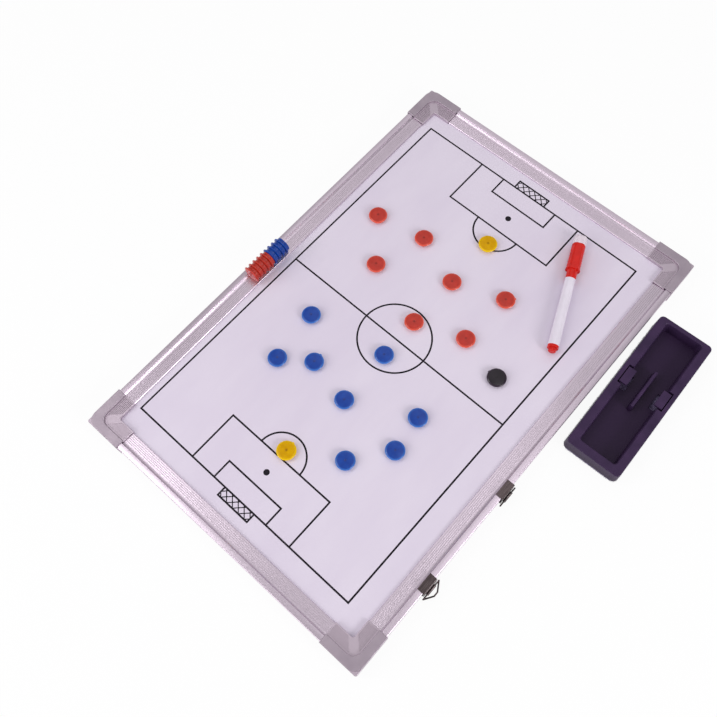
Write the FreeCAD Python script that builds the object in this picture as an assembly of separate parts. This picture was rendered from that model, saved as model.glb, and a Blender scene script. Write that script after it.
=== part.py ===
import FreeCAD, Part
import math
import os

from FreeCAD import Vector

os.makedirs("parts", exist_ok=True)

# Whole board, measured over the corner caps
board_length = 450.0
board_width = 300.0

# Layers of the framed panel, from the back to the writing face
cap_floor = 1.25
rail_wall = 1.2
back_sheet_thickness = 0.4
core_thickness = 7.4
face_sheet_thickness = 0.5
panel_inset = 6.0

# Aluminium rail: widths run inward from its outer wall, rises start at the writing face
profile_width = 17.6
bead_width = 5.4
bead_rise = 4.2
bead_crown = 0.15
bead_round = 0.9
bead_inner_round = 0.4
cove_run = 2.5
cove_cover_share = 0.62
flange_rise = 1.9
lip_rise = 1.5
lip_flat = 0.4
ridge_count = 5
ridge_start = 0.55
ridge_pitch = 1.5
ridge_height = 0.12
ridge_share = 0.8
chamber_width = 3.4
chamber_rise = 2.4
back_flange = 10.5
foot_round = 0.8
corner_gap = 0.25

# Moulded corner cap
cap_wall = 0.85
cap_leg = 36.6
cap_lip = 0.8
cap_skin = 1.0
cap_clearance = 0.1
outer_band = 8.2
tip_round = 9.6
base_round = 1.5
step_round = 8.0
inner_round = 2.0
cap_edge = 0.6
cap_inner_edge = 0.35
rib_count = 7
rib_share = 0.5
rib_margin = 1.0
rib_depth = 0.6
mitre_gap = 5.5
tongue_length = 14.0
tongue_fit = 0.1

# Corner screw
screw_at = 25.0
screw_head_radius = 1.7
screw_head_height = 0.7
screw_sink = 0.15
screw_radius = 0.95
screw_length = 8.0
screw_fit = 0.1
cross_length = 2.2
cross_width = 0.5
cross_depth = 0.4

# Printed pitch
print_depth = 0.1
print_turn = -0.46
pitch_margin_left = 16.5
pitch_margin_right = 18.2
pitch_margin_top = 19.3
pitch_margin_bottom = 7.65
line_width = 1.58
penalty_width_share = 0.467
penalty_depth_share = 0.1249
area_width_share = 0.2496
area_depth_share = 0.0466
spot_share = 0.082
spot_radius = 2.7
arc_share = 0.0918
circle_share = 0.1373
goal_width_share = 0.1403
goal_depth_share = 0.0351
net_pitch = 6.7
net_line = 0.9
net_angle = 45

# Counter magnet: moulded cap over a ferrite disc
magnet_height = 4.7
rim_radius = 8.4
rim_low = 2.9
rim_under_round = 0.4
neck_radius = 6.8
shoulder_radius = 6.2
shoulder_drop = 0.95
crown_rise = 0.25
dimple_radius = 1.0
dimple_depth = 0.25
disc_radius = 4.9
disc_thickness = 2.0
disc_fit = 0.05
nub_width = 1.8
nub_reach = 0.5
nub_root = 0.5
nub_low = 0.3
nub_height = 0.7

# Stack of spare counters lying on the bottom rail
stack_blue_count = 4
stack_red_count = 5
stack_middle_share = 0.0833
stack_inward = 11.3
stack_clearance = 0.3

# Hanger clip and its wire loop
clip_width = 15.6
clip_sheet = 0.6
clip_bend = 0.9
clip_reach = 5.55
clip_standoff = 1.6
clip_clearance = 0.3
clip_fit = 0.1
clip_hook = 0.95
clip_share_inner = 0.1904
clip_share_outer = 0.6192
knuckle_half = 5.0
knuckle_bore = 0.75
knuckle_wall = 0.5
knuckle_outward = 0.95
knuckle_height = 2.2
wire_radius = 0.65
bail_base_half = 9.6
bail_tip_half = 2.0
bail_length = 4.8

# Marker, from the felt end of its cap to the end plug
marker_tip_x_share = -0.9629
marker_tip_y_share = 0.5286
marker_turn = 23.52
marker_axis_rise = 5.5
felt_length = 8.8
felt_radius = 5.8
felt_half_height = 5.0
felt_stub_radius = 2.8
felt_stub_length = 3.0
marker_cap_length = 26.4
marker_cap_radius_tip = 6.0
marker_cap_radius_mouth = 6.1
cap_tip_round = 0.7
ear_length = 3.0
ear_radius = 6.5
collar_length = 9.2
collar_radius = 4.6
cap_bore_radius = 3.95
cap_end_wall = 1.4
barrel_length = 65.9
barrel_radius_front = 4.5
barrel_radius_back = 4.85
barrel_bore_radius = 3.6
barrel_ring_length = 1.2
barrel_ring_radius = 4.75
grip_radius = 3.85
grip_length = 17.0
nose_length = 8.0
nose_tip_radius = 2.2
nib_radius = 1.2
nib_reach = 4.2
nib_tail = 9.0
nib_tip_radius = 0.6
nib_taper = 1.4
core_radius = 3.2
core_gap = 7.5
barrel_front_thickness = 3.0
plug_flange_length = 2.6
plug_flange_radius = 4.8
plug_stub_length = 3.4
plug_stub_radius = 3.3
plug_stub_round = 0.8
plug_spigot_length = 6.0
plug_spigot_radius = 3.55
marker_fit = 0.05
bar_magnet_length = 10.0
bar_magnet_width = 3.4
bar_magnet_thickness = 0.8
bar_magnet_at = 12.5

# Eraser standing beside the top rail
eraser_middle_share = -0.4151
eraser_standoff = 31.9
eraser_turn = 1.68
pad_thickness = 4.0
pad_end_inset = 0.6
pad_side_inset = 0.35
pad_round = 5.0
eraser_base_length = 144.5
eraser_base_width = 51.0
eraser_end_draft = 0.3
eraser_side_draft = 0.7
eraser_height = 14.0
eraser_round = 4.0
eraser_edge = 0.9
eraser_floor = 2.0
tray_wall_left = 3.85
tray_wall_right = 7.6
tray_wall_side = 7.6
tray_round = 3.0
tray_draft = 1.2
tray_edge = 0.6
snap_shift = -6.2
snap_length = 15.6
snap_thickness = 2.0
snap_reach = 7.1
snap_end_gap = 1.9
snap_back_gap = 0.9
snap_pocket = 4.0
rib_length = 38.8
rib_base_thickness = 4.6
rib_top_thickness = 2.6
rib_drop = 2.4
rib_round = 0.8
rib_end_share = 0.45
window_margin = 0.4
window_lead = 1.7

# Levels and edges that follow from the sizes above
rail_half_length = board_length / 2 - cap_wall
rail_half_width = board_width / 2 - cap_wall
rail_under = cap_floor
back_top = rail_under + rail_wall
core_low = back_top + back_sheet_thickness
face_low = core_low + core_thickness
face_level = face_low + face_sheet_thickness
slot_start = rail_wall + chamber_width + rail_wall
flange_start = bead_width + cove_run
bead_crest = face_level + bead_rise
ridge_crest = face_level + flange_rise + ridge_height
block = cap_wall + profile_width + corner_gap
leg_width = cap_wall + profile_width + cap_lip
inner_top = ridge_crest + cap_clearance + cap_skin
outer_top = bead_crest + cap_clearance + cap_wall
diagonal = math.sqrt(0.5)
up = Vector(0, 0, 1)
along = Vector(1, 0, 0)
origin = Vector(0, 0, 0)

# Printed pitch, set out from the clear face inside the rails
clear_length = board_length - 2 * (cap_wall + profile_width)
clear_width = board_width - 2 * (cap_wall + profile_width)
pitch_length = clear_length - pitch_margin_left - pitch_margin_right
pitch_width = clear_width - pitch_margin_top - pitch_margin_bottom
pitch_middle = Vector(
    (pitch_margin_left - pitch_margin_right) / 2, (pitch_margin_bottom - pitch_margin_top) / 2, 0
)
half_length = pitch_length / 2
half_width = pitch_width / 2
penalty_width = penalty_width_share * pitch_width
penalty_depth = penalty_depth_share * pitch_length
area_width = area_width_share * pitch_width
area_depth = area_depth_share * pitch_length
spot_distance = spot_share * pitch_length
arc_radius = arc_share * pitch_width
circle_radius = circle_share * pitch_width
goal_width = goal_width_share * pitch_width
goal_depth = goal_depth_share * pitch_width

# Counters on the board: name, shares of the half pitch along and across, gate mark angle
counter_shares = [
    ("magnet_red_1", -0.431, -0.771, None),
    ("magnet_red_2", -0.479, -0.370, None),
    ("magnet_red_3", -0.224, -0.498, None),
    ("magnet_red_4", -0.386, 0.030, None),
    ("magnet_red_5", -0.476, 0.423, 135),
    ("magnet_red_6", -0.114, 0.030, None),
    ("magnet_red_7", -0.204, 0.400, None),
    ("magnet_yellow_1", -0.654, 0.029, None),
    ("magnet_yellow_2", 0.712, 0.003, 180),
    ("magnet_blue_1", 0.171, -0.577, None),
    ("magnet_blue_2", 0.428, -0.527, None),
    ("magnet_blue_3", 0.332, -0.305, 180),
    ("magnet_blue_4", 0.099, 0.038, None),
    ("magnet_blue_5", 0.376, 0.053, None),
    ("magnet_blue_6", 0.224, 0.529, None),
    ("magnet_blue_7", 0.401, 0.565, None),
    ("magnet_blue_8", 0.576, 0.356, None),
    ("magnet_black", -0.148, 0.755, 270),
]


def save(name, shape):
    shape.exportStep("parts/" + name + ".step")


def box(low, high):
    size = [b - a for a, b in zip(low, high)]
    return Part.makeBox(size[0], size[1], size[2], Vector(*low))


def line(a, b):
    return Part.makeLine(Vector(*a), Vector(*b))


def arc(a, middle, b):
    return Part.Arc(Vector(*a), Vector(*middle), Vector(*b)).toShape()


def outline(edges):
    return Part.Face(Part.Wire(edges))


def rod(radius, start, end):
    step = Vector(*end) - Vector(*start)
    return Part.makeCylinder(radius, step.Length, Vector(*start), step)


def join(shapes):
    return shapes[0].multiFuse(shapes[1:]).removeSplitter()


def turned(shape, angle, place):
    copy = shape.copy()
    copy.rotate(origin, up, angle)
    copy.translate(place)
    return copy


def top_edges(shape, level):
    slack = cap_clearance
    return [e for e in shape.Edges if all(abs(v.Z - level) < slack for v in e.Vertexes)]


# Place over the printed pitch, by shares of its half length and half width
def on_pitch(x_share, y_share, level):
    place = Vector(x_share * half_length, y_share * half_width, level)
    return FreeCAD.Rotation(up, print_turn).multVec(place) + pitch_middle


# Rail: outer wall on y = 0, inward along +y, length along x
def rail(length):
    shoulder = bead_crest - bead_crown
    start = -length / 2
    outer_turn = bead_round * (1 - diagonal)
    inner_turn = bead_inner_round * (1 - diagonal)
    cove_low = face_level + flange_rise
    cove_drop = shoulder - bead_inner_round - cove_low
    cove_radius = (cove_run ** 2 + cove_drop ** 2) / (2 * cove_drop)
    half_sweep = math.atan2(cove_run, cove_radius - cove_drop) / 2

    def at(inward, level):
        return (start, inward, level)

    def flange_level(inward):
        share = (inward - flange_start) / (profile_width - flange_start)
        return face_level + flange_rise + (lip_rise - flange_rise) * share

    outer_low = at(0, shoulder - bead_round)
    outer_high = at(bead_round, shoulder)
    inner_high = at(bead_width - bead_inner_round, shoulder)
    inner_low = at(bead_width, shoulder - bead_inner_round)
    cove_middle = at(
        flange_start - cove_radius * math.sin(half_sweep),
        cove_low + cove_radius * (1 - math.cos(half_sweep)),
    )
    last = at(flange_start, cove_low)
    edges = [
        line(at(0, rail_under + foot_round), outer_low),
        arc(outer_low, at(outer_turn, shoulder - outer_turn), outer_high),
        arc(outer_high, at(bead_width / 2, bead_crest), inner_high),
        arc(inner_high, at(bead_width - inner_turn, shoulder - inner_turn), inner_low),
        arc(inner_low, cove_middle, last),
    ]
    for i in range(ridge_count):
        middle = flange_start + ridge_start + (i + 0.5) * ridge_pitch
        first = middle - ridge_pitch * ridge_share / 2
        second = middle + ridge_pitch * ridge_share / 2
        low = at(first, flange_level(first))
        crest = at(middle, flange_level(middle) + ridge_height)
        high = at(second, flange_level(second))
        edges.append(line(last, low))
        edges.append(arc(low, crest, high))
        last = high
    corners = [
        last,
        at(profile_width - lip_flat, flange_level(profile_width - lip_flat)),
        at(profile_width, face_level + lip_rise - lip_flat),
        at(profile_width, face_level),
        at(slot_start, face_level),
        at(slot_start, back_top),
        at(back_flange, back_top),
        at(back_flange, rail_under),
        at(foot_round, rail_under),
    ]
    for a, b in zip(corners, corners[1:]):
        edges.append(line(a, b))
    turn = foot_round * (1 - diagonal)
    edges.append(arc(corners[-1], at(turn, rail_under + turn), at(0, rail_under + foot_round)))
    solid = outline(edges).extrude(Vector(length, 0, 0))
    chamber_low = (start, rail_wall, rail_under + rail_wall)
    chamber_high = (-start, rail_wall + chamber_width, face_level + chamber_rise)
    holes = [box(chamber_low, chamber_high)]
    for side in (-1, 1):
        x = side * (length / 2 + block - screw_at)
        y = rail_wall + chamber_width / 2
        holes.append(rod(screw_radius + screw_fit, (x, y, 0), (x, y, back_top)))
    return solid.cut(Part.makeCompound(holes))


long_rail = rail(2 * (rail_half_length - profile_width - corner_gap))
short_rail = rail(2 * (rail_half_width - profile_width - corner_gap))
save("rail_bottom", turned(long_rail, 0, Vector(0, -rail_half_width, 0)))
save("rail_right", turned(short_rail, 90, Vector(rail_half_length, 0, 0)))
save("rail_top", turned(long_rail, 180, Vector(0, rail_half_width, 0)))
save("rail_left", turned(short_rail, 270, Vector(-rail_half_length, 0, 0)))


# L-shaped block with its outer corner at the origin and its legs along +x and +y
def ell(width, outer, inner, low, high):
    a = outer * (1 - diagonal)
    b = width + inner * (1 - diagonal)
    edges = [
        arc((0, outer, low), (a, a, low), (outer, 0, low)),
        line((outer, 0, low), (cap_leg, 0, low)),
        line((cap_leg, 0, low), (cap_leg, width, low)),
        line((cap_leg, width, low), (width + inner, width, low)),
        arc((width + inner, width, low), (b, b, low), (width, width + inner, low)),
        line((width, width + inner, low), (width, cap_leg, low)),
        line((width, cap_leg, low), (0, cap_leg, low)),
        line((0, cap_leg, low), (0, outer, low)),
    ]
    return outline(edges).extrude(Vector(0, 0, high - low))


# The same cut or bar on both legs of a corner
def both_legs(shape):
    return [shape, shape.mirror(origin, Vector(diagonal, -diagonal, 0))]


def corner_cap():
    band = ell(outer_band, tip_round, step_round, 0, outer_top)
    band = band.makeFillet(cap_edge, top_edges(band, outer_top))
    base = ell(leg_width, base_round, inner_round, 0, inner_top)
    base = base.makeFillet(cap_inner_edge, top_edges(base, inner_top))
    cap = join([base, band])
    bead_side = cap_wall + bead_width + cove_run * cove_cover_share
    rail_side = cap_wall + profile_width
    end = 2 * cap_leg
    cuts = []
    over_bead = box((block, cap_wall, cap_floor), (end, bead_side, bead_crest + cap_clearance))
    over_flange = box((block, bead_side, cap_floor), (end, rail_side, ridge_crest + cap_clearance))
    under_lip = box((block, rail_side, cap_floor), (end, leg_width, face_level))
    for shape in (over_bead, over_flange, under_lip):
        cuts.extend(both_legs(shape))
    edge = cap_wall + slot_start
    cuts.append(box((edge, edge, back_top), (end, end, face_level)))
    pitch = (leg_width - outer_band - 2 * rib_margin) / rib_count
    for i in range(rib_count):
        y = outer_band + rib_margin + (i + 0.5) * pitch
        half = pitch * rib_share / 2
        low = (y + mitre_gap, y - half, inner_top - rib_depth)
        high = (cap_leg - rib_margin, y + half, outer_top)
        cuts.extend(both_legs(box(low, high)))
    cap = cap.cut(Part.makeCompound(cuts))
    chamber = cap_wall + rail_wall
    low = (block - cap_wall, chamber + tongue_fit, rail_under + rail_wall + tongue_fit)
    high = (
        block + tongue_length,
        chamber + chamber_width - tongue_fit,
        face_level + chamber_rise - tongue_fit,
    )
    cap = join([cap] + both_legs(box(low, high)))
    y = chamber + chamber_width / 2
    seat = screw_sink + screw_head_height
    shaft = rod(screw_radius + screw_fit, (screw_at, y, 0), (screw_at, y, seat + screw_length))
    head = rod(screw_head_radius + screw_fit, (screw_at, y, 0), (screw_at, y, seat))
    return cap.cut(Part.makeCompound(both_legs(shaft) + both_legs(head)))


# Corner screw with a cross recess, its head set into the underside of the cap
def corner_screw():
    y = cap_wall + rail_wall + chamber_width / 2
    seat = screw_sink + screw_head_height
    head = rod(screw_head_radius, (screw_at, y, screw_sink), (screw_at, y, seat))
    shank = rod(screw_radius, (screw_at, y, seat), (screw_at, y, seat + screw_length))
    half = cross_length / 2
    thin = cross_width / 2
    deep = screw_sink + cross_depth
    first = box((screw_at - half, y - thin, 0), (screw_at + half, y + thin, deep))
    second = box((screw_at - thin, y - half, 0), (screw_at + thin, y + half, deep))
    return join([head, shank]).cut(Part.makeCompound([first, second]))


corner = corner_cap()
screw_pair = both_legs(corner_screw())
corner_places = [
    ("corner_bottom_left", 0, -1, -1),
    ("corner_bottom_right", 90, 1, -1),
    ("corner_top_right", 180, 1, 1),
    ("corner_top_left", 270, -1, 1),
]
screws = []
for name, angle, x_side, y_side in corner_places:
    place = Vector(x_side * board_length / 2, y_side * board_width / 2, 0)
    save(name, turned(corner, angle, place))
    for screw in screw_pair:
        screws.append(turned(screw, angle, place))
save("corner_screws", Part.makeCompound(screws))

# Panel: back sheet, core board and printed steel face
panel_x = rail_half_length - panel_inset
panel_y = rail_half_width - panel_inset
save("back_sheet", box((-panel_x, -panel_y, back_top), (panel_x, panel_y, core_low)))
save("core_board", box((-panel_x, -panel_y, core_low), (panel_x, panel_y, face_low)))
face_sheet = box((-panel_x, -panel_y, face_low), (panel_x, panel_y, face_level))

# Pitch print, flush in the face
ink_low = face_level - print_depth


def ink(x0, x1, y0, y1):
    half = line_width / 2
    low = (min(x0, x1) - half, min(y0, y1) - half, ink_low)
    high = (max(x0, x1) + half, max(y0, y1) + half, face_level)
    return box(low, high)


def ink_ring(x, radius):
    half = line_width / 2
    ring = rod(radius + half, (x, 0, ink_low), (x, 0, face_level))
    return ring.cut(rod(radius - half, (x, 0, ink_low), (x, 0, face_level)))


def marked_area(inner, outer, width):
    half = width / 2
    return [
        ink(inner, outer, -half, -half),
        ink(inner, outer, half, half),
        ink(inner, inner, -half, half),
    ]


def goal_net(start):
    half = goal_width / 2
    frame = box((start, -half, ink_low), (start + goal_depth, half, face_level))
    count = math.ceil((goal_width + goal_depth) / net_pitch)
    reach = goal_width
    strands = []
    for i in range(count):
        y = -half - goal_depth + (i + 0.5) * net_pitch
        strand = box((-reach, -net_line / 2, ink_low), (reach, net_line / 2, face_level))
        strand = turned(strand, net_angle, Vector(start, y, 0))
        strands.append(strand)
        strands.append(strand.mirror(origin, Vector(0, 1, 0)))
    return [s.common(frame) for s in strands]


box_line = half_length - penalty_depth
spot_x = half_length - spot_distance
pitch_end = marked_area(box_line, half_length, penalty_width)
pitch_end += marked_area(half_length - area_depth, half_length, area_width)
pitch_end += marked_area(half_length + goal_depth, half_length, goal_width)
pitch_end += goal_net(half_length)
pitch_end.append(rod(spot_radius, (spot_x, 0, ink_low), (spot_x, 0, face_level)))
arc_side = box((0, -half_width, ink_low), (box_line, half_width, face_level))
pitch_end.append(ink_ring(box_line, arc_radius).common(arc_side))
marks = [
    ink(-half_length, half_length, -half_width, -half_width),
    ink(-half_length, half_length, half_width, half_width),
    ink(-half_length, -half_length, -half_width, half_width),
    ink(half_length, half_length, -half_width, half_width),
    ink(0, 0, -half_width, half_width),
    ink_ring(0, circle_radius),
]
for angle in (0, 180):
    for shape in pitch_end:
        marks.append(turned(shape, angle, origin))
pitch_print = turned(join(marks), print_turn, pitch_middle)
save("pitch_print", pitch_print)
save("face_sheet", face_sheet.cut(pitch_print))


# Counter magnet standing on z = 0
def counter(gate_angle):
    pocket = disc_radius + disc_fit
    under = rim_under_round * (1 - diagonal)
    low_side = rim_low + rim_under_round
    shoulder_level = magnet_height - crown_rise
    shoulder_run = rim_radius - shoulder_radius
    bend = (shoulder_run ** 2 + shoulder_drop ** 2) / (2 * shoulder_drop)
    half_turn = math.atan2(shoulder_run, bend - shoulder_drop) / 2
    shoulder_middle = (
        shoulder_radius + bend * math.sin(half_turn),
        0,
        shoulder_level - bend * (1 - math.cos(half_turn)),
    )
    crown_middle = (dimple_radius + shoulder_radius) / 2

    def crown(radius):
        return (radius, 0, magnet_height - crown_rise * (radius / shoulder_radius) ** 2)

    points = [
        (rim_radius, 0, low_side),
        (rim_radius, 0, shoulder_level - shoulder_drop),
        crown(shoulder_radius),
        crown(dimple_radius),
        (0, 0, magnet_height - dimple_depth),
        (0, 0, disc_thickness),
        (pocket, 0, disc_thickness),
        (pocket, 0, 0),
        (neck_radius, 0, 0),
        (neck_radius, 0, rim_low),
        (rim_radius - rim_under_round, 0, rim_low),
    ]
    edges = [line(points[0], points[1])]
    edges.append(arc(points[1], shoulder_middle, points[2]))
    edges.append(arc(points[2], crown(crown_middle), points[3]))
    for a, b in zip(points[3:], points[4:]):
        edges.append(line(a, b))
    edges.append(arc(points[-1], (rim_radius - under, 0, rim_low + under), points[0]))
    cap = outline(edges).revolve(origin, up, 360)
    if gate_angle is not None:
        low = (rim_radius - nub_root, -nub_width / 2, rim_low + nub_low)
        high = (rim_radius + nub_reach, nub_width / 2, rim_low + nub_low + nub_height)
        cap = join([cap, turned(box(low, high), gate_angle, origin)])
    return cap


disc = rod(disc_radius, (0, 0, 0), (0, 0, disc_thickness))
for name, x_share, y_share, gate_angle in counter_shares:
    pair = Part.makeCompound([counter(gate_angle), disc])
    save(name, turned(pair, 0, on_pitch(x_share, y_share, face_level)))

# Stack of spare counters, lying along the bottom rail
stack_y = -rail_half_width + stack_inward
stack_z = ridge_crest + stack_clearance + rim_radius
stack_count = stack_blue_count + stack_red_count
stack_start = stack_middle_share * board_length / 2 - stack_count * magnet_height / 2
lying_counter = counter(None)
lying_counter.rotate(origin, Vector(0, 1, 0), 90)
lying_disc = disc.copy()
lying_disc.rotate(origin, Vector(0, 1, 0), 90)
stack_caps = []
stack_discs = []
for i in range(stack_count):
    place = Vector(stack_start + i * magnet_height, stack_y, stack_z)
    stack_caps.append(turned(lying_counter, 0, place))
    stack_discs.append(turned(lying_disc, 0, place))
save("stack_blue", Part.makeCompound(stack_caps[:stack_blue_count]))
save("stack_red", Part.makeCompound(stack_caps[stack_blue_count:]))
save("stack_discs", Part.makeCompound(stack_discs))

# Hanger clip: one bent strip round the top rail, with a knuckle at the foot of its web
clip_top = bead_crest + clip_clearance + clip_sheet
clip_low = rail_under - clip_sheet
knuckle_y = rail_half_width + clip_standoff + knuckle_outward


# The clip is built round the knuckle's axis, which runs along x through the origin
def clip():
    half = clip_width / 2
    web = -knuckle_outward
    rail_edge = web - clip_standoff
    hook = rail_edge - back_flange - clip_fit
    top = clip_top - knuckle_height
    low = clip_low - knuckle_height
    rail_low = rail_under - knuckle_height
    strip = join([
        box((-half, rail_edge - clip_reach, top - clip_sheet), (half, web, top)),
        box((-half, web - clip_sheet, low), (half, web, top)),
        box((-half, hook - clip_sheet, low), (half, web, rail_low)),
        box((-half, hook - clip_sheet, low), (half, hook, rail_low + clip_hook)),
        rod(knuckle_bore + knuckle_wall, (-knuckle_half, 0, 0), (knuckle_half, 0, 0)),
    ])
    bends = [e for e in top_edges(strip, top) if all(abs(v.Y - web) < clip_fit for v in e.Vertexes)]
    strip = strip.makeFillet(clip_bend, bends)
    return strip.cut(rod(knuckle_bore, (-clip_width, 0, 0), (clip_width, 0, 0)))


# Wire loop through the knuckle, pointing outward and then turned about the knuckle
def bail(angle):
    corners = [
        (-bail_base_half, 0, 0),
        (-bail_tip_half, bail_length, 0),
        (bail_tip_half, bail_length, 0),
        (bail_base_half, 0, 0),
    ]
    pieces = [rod(wire_radius, corners[-1], corners[0])]
    for a, b in zip(corners, corners[1:]):
        pieces.append(rod(wire_radius, a, b))
    for place in corners:
        pieces.append(Part.makeSphere(wire_radius, Vector(*place)))
    loop = join(pieces)
    loop.rotate(origin, along, angle)
    return loop


for name, share, angle in (("inner", clip_share_inner, 90), ("outer", clip_share_outer, 0)):
    place = Vector(share * board_length / 2, knuckle_y, knuckle_height)
    save("clip_" + name, turned(clip(), 0, place))
    save("bail_" + name, turned(bail(angle), 0, place))

# Marker, built along +x from the felt end and then laid on the board
marker_place = on_pitch(marker_tip_x_share, marker_tip_y_share, face_level + marker_axis_rise)
cap_start = felt_length
cap_mouth = cap_start + marker_cap_length
barrel_start = cap_mouth + collar_length
barrel_end = barrel_start + barrel_length
bore_end = cap_start + felt_stub_length + cap_end_wall


def lay(name, shape):
    save(name, turned(shape, marker_turn, marker_place))


def on_axis(radius, start, end):
    return rod(radius, (start, 0, 0), (end, 0, 0))


def slab(start, end, half_height):
    return box(
        (start, -ear_radius, -half_height),
        (end, ear_radius, half_height),
    )


felt = on_axis(felt_radius, 0, felt_length).common(slab(0, felt_length, felt_half_height))
lay("marker_felt", join([felt, on_axis(felt_stub_radius, felt_length, felt_length + felt_stub_length)]))

hood = Part.makeCone(
    marker_cap_radius_tip, marker_cap_radius_mouth, marker_cap_length,
    Vector(cap_start, 0, 0), along,
)
ears = Part.makeCone(
    marker_cap_radius_mouth, ear_radius, ear_length, Vector(cap_mouth - ear_length, 0, 0), along
)
hood = join([hood, ears]).common(slab(cap_start, cap_mouth, marker_axis_rise))
tip_edges = [e for e in hood.Edges if all(abs(v.X - cap_start) < marker_fit for v in e.Vertexes)]
hood = hood.makeFillet(cap_tip_round, tip_edges)
hood = join([hood, on_axis(collar_radius, cap_mouth - cap_end_wall, barrel_start)])
bar_low = (cap_start + bar_magnet_at, -bar_magnet_width / 2, -marker_axis_rise)
bar_high = (
    cap_start + bar_magnet_at + bar_magnet_length,
    bar_magnet_width / 2,
    bar_magnet_thickness - marker_axis_rise,
)
hood = hood.cut(Part.makeCompound([
    on_axis(cap_bore_radius, bore_end, barrel_start),
    on_axis(felt_stub_radius, cap_start, cap_start + felt_stub_length),
    box(bar_low, bar_high),
]))
lay("marker_cap", hood)
lay("marker_magnet", box(bar_low, bar_high))

grip_start = barrel_start - grip_length
nose_start = grip_start - nose_length
barrel = join([
    Part.makeCone(nose_tip_radius, grip_radius, nose_length, Vector(nose_start, 0, 0), along),
    on_axis(grip_radius, grip_start, barrel_start),
    on_axis(barrel_ring_radius, barrel_start, barrel_start + barrel_ring_length),
    Part.makeCone(
        barrel_radius_front, barrel_radius_back, barrel_length, Vector(barrel_start, 0, 0), along
    ),
])
chamber_start = barrel_start + barrel_front_thickness
barrel = barrel.cut(Part.makeCompound([
    on_axis(barrel_bore_radius, chamber_start, barrel_end),
    on_axis(nib_radius + marker_fit, nose_start, chamber_start),
]))
lay("marker_barrel", barrel)

nib_start = nose_start - nib_reach
nib = join([
    Part.makeCone(nib_tip_radius, nib_radius, nib_taper, Vector(nib_start, 0, 0), along),
    on_axis(nib_radius, nib_start + nib_taper, chamber_start + nib_tail),
])
lay("marker_nib", nib)
core_end = barrel_end - plug_spigot_length - core_gap
ink_core = on_axis(core_radius, chamber_start, core_end)
lay("marker_ink", ink_core.cut(on_axis(nib_radius, chamber_start, chamber_start + nib_tail)))

flange_end = barrel_end + plug_flange_length
stub = on_axis(plug_stub_radius, barrel_end, flange_end + plug_stub_length)
stub_edges = [e for e in stub.Edges if all(v.X > flange_end for v in e.Vertexes)]
stub = stub.makeFillet(plug_stub_round, stub_edges)
lay("marker_plug", join([
    on_axis(plug_flange_radius, barrel_end, flange_end),
    on_axis(plug_spigot_radius, barrel_end - plug_spigot_length, barrel_end),
    stub,
]))


# Eraser, built round the origin and then stood beside the board
def rounded(length, width, radius, level):
    x = length / 2
    y = width / 2
    bend = radius * (1 - diagonal)
    edges = []
    for sx, sy, turn in ((1, 1, 1), (-1, 1, -1), (-1, -1, 1), (1, -1, -1)):
        side = (sx * x, sy * (y - radius), level)
        middle = (sx * (x - bend), sy * (y - bend), level)
        flat = (sx * (x - radius), sy * y, level)
        ends = (side, flat) if turn > 0 else (flat, side)
        edges.append((ends[0], middle, ends[1]))
    loop = []
    for i in range(len(edges)):
        loop.append(arc(*edges[i]))
        loop.append(line(edges[i][2], edges[(i + 1) % len(edges)][0]))
    return Part.Wire(loop)


eraser_rim_length = eraser_base_length - 2 * eraser_end_draft
eraser_rim_width = eraser_base_width - 2 * eraser_side_draft
tray_length = eraser_rim_length - tray_wall_left - tray_wall_right
tray_width = eraser_rim_width - 2 * tray_wall_side
tray_shift = (tray_wall_left - tray_wall_right) / 2
pad_length = eraser_base_length - 2 * pad_end_inset
pad_width = eraser_base_width - 2 * pad_side_inset


def tray_cut(low, low_shrink, high, high_grow):
    first = rounded(tray_length - low_shrink, tray_width - low_shrink, tray_round, low)
    second = rounded(tray_length + high_grow, tray_width + high_grow, tray_round, high)
    return turned(Part.makeLoft([first, second], True, True), 0, Vector(tray_shift, 0, 0))


eraser_top = pad_thickness + eraser_height
tray_low = pad_thickness + eraser_floor
eraser_place = Vector(
    eraser_middle_share * board_length / 2, board_width / 2 + eraser_standoff, 0
)
pad = Part.Face(rounded(pad_length, pad_width, pad_round, 0)).extrude(Vector(0, 0, pad_thickness))
save("eraser_pad", turned(pad, eraser_turn, eraser_place))

shell = Part.makeLoft(
    [
        rounded(eraser_base_length, eraser_base_width, eraser_round, pad_thickness),
        rounded(eraser_rim_length, eraser_rim_width, eraser_round, eraser_top),
    ],
    True,
    True,
)
shell = shell.makeFillet(eraser_edge, top_edges(shell, eraser_top))
tray_side = tray_width / 2
shell = shell.cut(Part.makeCompound([
    tray_cut(tray_low, 2 * tray_draft, eraser_top, 0),
    tray_cut(eraser_top - tray_edge, 0, eraser_top, 2 * tray_edge),
]))

# Snap tabs, one on each side: a finger in a pocket of the wall, hooked over the tray
snap_back = tray_side + snap_pocket - snap_back_gap
snap_half = snap_length / 2
pocket_half = snap_half + snap_end_gap
snap_place = Vector(snap_shift, 0, 0)
pockets = []
snaps = []
windows = []
for side in (0, 180):
    pocket = box((-pocket_half, 0, tray_low), (pocket_half, tray_side + snap_pocket, eraser_top))
    finger = box(
        (-snap_half, snap_back - snap_thickness, tray_low), (snap_half, snap_back, eraser_top)
    )
    hook = box(
        (-snap_half, snap_back - snap_reach, eraser_top - snap_thickness),
        (snap_half, snap_back, eraser_top),
    )
    window = box(
        (-snap_half, snap_back - snap_reach - window_lead, 0),
        (snap_half, snap_back - snap_thickness - window_margin, tray_low),
    )
    pockets.append(turned(pocket, side, snap_place))
    snaps.append(turned(finger, side, snap_place))
    snaps.append(turned(hook, side, snap_place))
    windows.append(turned(window, side, snap_place))
shell = shell.cut(Part.makeCompound(pockets))

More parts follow.
